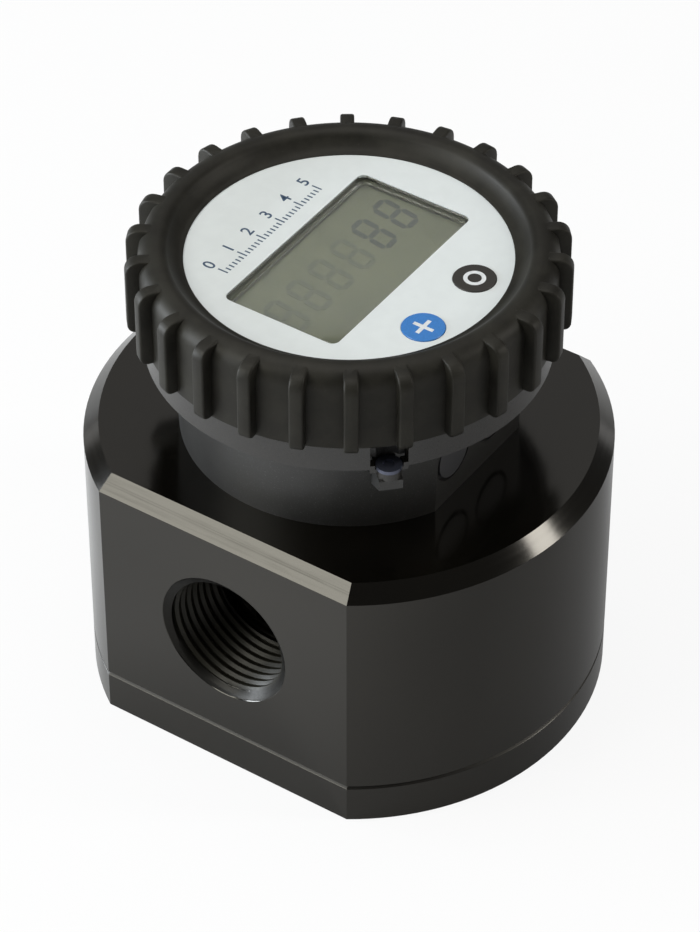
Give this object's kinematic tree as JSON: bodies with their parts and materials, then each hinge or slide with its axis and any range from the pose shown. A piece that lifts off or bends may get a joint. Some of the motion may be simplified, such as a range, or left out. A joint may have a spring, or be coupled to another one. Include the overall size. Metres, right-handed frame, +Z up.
{
  "type": "oval gear flow meter",
  "caption": "Flow meter with two meshing oval rotors in a round metal body with flat port sides, topped by a finned battery register with a display and buttons.",
  "frame": {"origin": "centre of the flat underside of the end cap", "axes": "+Z up through the register, +X along the flow out of the outlet port, display reads along +X with its foot towards -Y"},
  "size_m": [0.1, 0.12, 0.1187],
  "materials": {
    "anodised": "black anodised, fine turned",
    "steel": "bright",
    "screw_steel": "dark plated",
    "rotor_polymer": "glass filled, moulded",
    "magnet_plating": "nickel plated",
    "bush_carbon": "carbon, ground",
    "seal_rubber": "smooth",
    "moulding": "fine textured moulding",
    "plug_plastic": "moulded",
    "bezel_plastic": "glass filled, satin",
    "boot_rubber": "matte moulded rubber",
    "plate_white": "satin printed film",
    "lens_clear": "polished",
    "display_glass": "reflective liquid crystal panel",
    "button_blue": "satin film",
    "button_dark": "satin film",
    "board_laminate": "solder mask",
    "terminal_plastic": "moulded",
    "cell_sleeve": "shrink sleeve",
    "contact_metal": "nickel plated",
    "lead_sheath": "smooth"
  },
  "bodies": {
    "root": {"meter_body": "anodised", "end_cap": "anodised", "cap_seal": "seal_rubber", "cap_screws": "steel", "cap_dowels": "steel", "rotor_shaft_a": "steel", "rotor_shaft_b": "steel", "thrust_washers": "bush_carbon", "sensor_capsule": "moulding", "sensor_lead": "lead_sheath", "register_base": "moulding", "register_seal": "seal_rubber", "register_screws": "steel", "conduit_plugs": "plug_plastic", "bezel_ring": "bezel_plastic", "bezel_seal": "seal_rubber", "bezel_screws": "screw_steel", "boot": "boot_rubber", "face_plate": "plate_white", "display_lens": "lens_clear", "lens_seal": "seal_rubber", "lcd_panel": "display_glass", "lcd_frame": "lead_sheath", "contact_strips": "seal_rubber", "circuit_board": "board_laminate", "board_screws": "steel", "board_chips": "lead_sheath", "terminal_block": "terminal_plastic", "key_switches": "lead_sheath", "battery_holder": "lead_sheath", "battery_cells": "cell_sleeve", "battery_contacts": "contact_metal"},
    "oval_rotor_a": {"rotor_a": "rotor_polymer", "rotor_bushes_a": "bush_carbon", "rotor_magnets": "magnet_plating"},
    "oval_rotor_b": {"rotor_b": "rotor_polymer", "rotor_bushes_b": "bush_carbon"},
    "program_key": {"program_button": "button_blue"},
    "select_key": {"select_button": "button_dark"}
  },
  "joints": [
    {"name": "rotor_a_turn", "type": "hinge", "parent": "root", "child": "oval_rotor_a", "pos_m": [0, -0.0185, 0.0322], "axis": [0, 0, 1], "range_deg": [-18, 18]},
    {"name": "rotor_b_turn", "type": "hinge", "parent": "root", "child": "oval_rotor_b", "pos_m": [0, 0.0185, 0.0322], "axis": [0, 0, 1], "range_deg": [-26.2, 26.2]},
    {"name": "program_press", "type": "slide", "parent": "root", "child": "program_key", "axis": [0, 0, -1], "range_m": [0, 0.0005], "stiffness_N_per_m": 1500},
    {"name": "select_press", "type": "slide", "parent": "root", "child": "select_key", "axis": [0, 0, -1], "range_m": [0, 0.0005], "stiffness_N_per_m": 1500}
  ],
  "couplings": [
    {"joint": "rotor_b_turn", "follows": "rotor_a_turn", "ratio": -1.4537}
  ]
}
